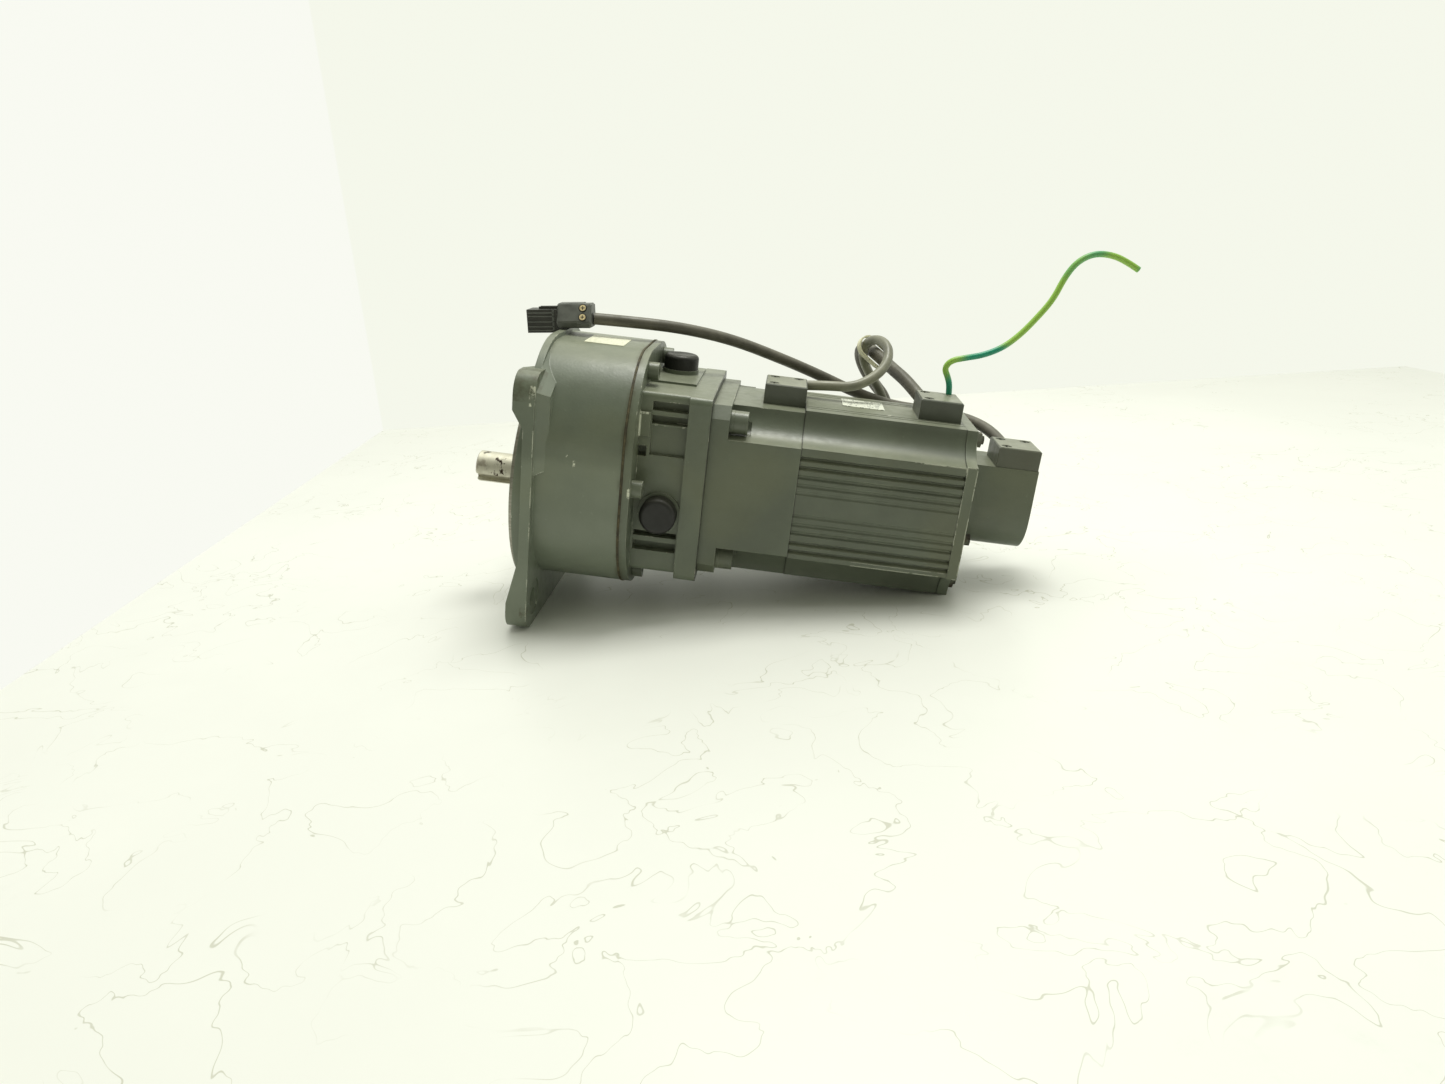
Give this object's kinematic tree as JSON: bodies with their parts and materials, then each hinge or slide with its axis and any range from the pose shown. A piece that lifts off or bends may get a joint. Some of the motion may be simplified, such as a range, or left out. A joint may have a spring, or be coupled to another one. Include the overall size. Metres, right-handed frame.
{
  "type": "servo gearmotor",
  "caption": "Painted servo motor with a holding brake and encoder, on a parallel-shaft reducer with a square flange and a keyed output shaft; loose leads leave its top.",
  "frame": {"origin": "centre of the output flange's front face, the plane of its ear pads, on the output shaft's axis", "axes": "-X out along the output shaft, +X towards the encoder cover, +Z towards the lead outlet blocks"},
  "size_m": [0.3803, 0.1735, 0.2433],
  "materials": {
    "black_plastic": "moulded nylon",
    "black_rubber": "dull, dusty",
    "black_screw": "blackened steel",
    "brass_screw": "plated screw",
    "bright_steel": "ground steel with light staining",
    "circuit_board": "glass-epoxy board",
    "copper_wire": "enamelled copper",
    "core_jacket": "vinyl insulation",
    "dark_jacket": "dusty rubber sheath",
    "friction": "brake lining",
    "gear_steel": "case-hardened, oiled",
    "green_jacket": "green vinyl with a yellow stripe",
    "grey_jacket": "grey vinyl sheath",
    "hood_plastic": "moulded hood",
    "lamination": "electrical steel",
    "machined_steel": "turned steel",
    "magnet": "nickel plate",
    "painted_block": "dark grey-green enamel",
    "painted_casting": "semi-matt grey-green enamel over cast aluminium, chipped at the edges",
    "painted_extrusion": "semi-matt grey-green enamel over extruded aluminium",
    "painted_screw": "painted over after assembly",
    "paper_label": "aged label film",
    "rusty_joint": "rust and old sealant",
    "rusty_steel": "rusty zinc",
    "tie_nylon": "aged clear nylon"
  },
  "bodies": {
    "frame": {"access_plugs": "black_rubber", "bell_housing": "painted_casting", "brake_coil": "copper_wire", "brake_lead": "grey_jacket", "brake_magnet": "lamination", "brake_outlet_block": "painted_block", "brake_plates": "machined_steel", "cable_tie": "tie_nylon", "case_gasket": "rusty_joint", "case_screws": "painted_screw", "connector_hood": "hood_plastic", "connector_insert": "black_plastic", "connector_screws": "brass_screw", "earth_wire": "green_jacket", "encoder_board": "circuit_board", "encoder_cover": "painted_casting", "encoder_cover_screws": "rusty_steel", "encoder_lead": "dark_jacket", "encoder_outlet_block": "painted_block", "gear_case": "painted_casting", "gearbox_label": "paper_label", "input_bearing_outer": "machined_steel", "layshaft_front_bearing_outer": "machined_steel", "layshaft_rear_bearing_outer": "machined_steel", "lead_cores": "core_jacket", "motor_front_bearing_outer": "machined_steel", "motor_front_bracket": "painted_casting", "motor_label": "paper_label", "motor_rear_bearing_outer": "machined_steel", "motor_rear_bracket": "painted_casting", "motor_screws": "painted_screw", "motor_shaft_seal": "black_rubber", "outlet_block_screws": "black_screw", "output_bearing_outer": "machined_steel", "output_oil_seal": "black_rubber", "power_lead": "dark_jacket", "power_outlet_block": "painted_block", "spring_washers": "painted_screw", "stator_core": "lamination", "stator_housing": "painted_extrusion", "stator_windings": "copper_wire", "tie_bolts": "rusty_steel"},
    "rotor": {"motor_shaft": "bright_steel", "rotor_core": "lamination", "rotor_magnets": "magnet", "brake_disc": "friction", "encoder_disc": "bright_steel", "input_pinion": "gear_steel", "clamp_screw": "black_screw", "input_bearing_inner": "machined_steel", "motor_front_bearing_inner": "machined_steel", "motor_rear_bearing_inner": "machined_steel"},
    "layshaft": {"layshaft_pinion": "gear_steel", "layshaft_gear": "gear_steel", "layshaft_front_bearing_inner": "machined_steel", "layshaft_rear_bearing_inner": "machined_steel"},
    "output": {"output_shaft": "bright_steel", "output_gear": "gear_steel", "output_gear_circlip": "machined_steel", "output_bearing_inner": "machined_steel"}
  },
  "joints": [
    {"name": "output_spin", "type": "hinge", "parent": "frame", "child": "output", "pos_m": [0, 0, 0], "axis": [1, 0, 0], "continuous": true},
    {"name": "rotor_spin", "type": "hinge", "parent": "frame", "child": "rotor", "pos_m": [0.2, 0, 0.015], "axis": [1, 0, 0], "continuous": true},
    {"name": "layshaft_spin", "type": "hinge", "parent": "frame", "child": "layshaft", "pos_m": [0.04, 0.02817, 0.0291], "axis": [1, 0, 0], "continuous": true}
  ],
  "couplings": [
    {"joint": "layshaft_spin", "follows": "rotor_spin", "ratio": -0.28571},
    {"joint": "output_spin", "follows": "rotor_spin", "ratio": 0.1}
  ]
}
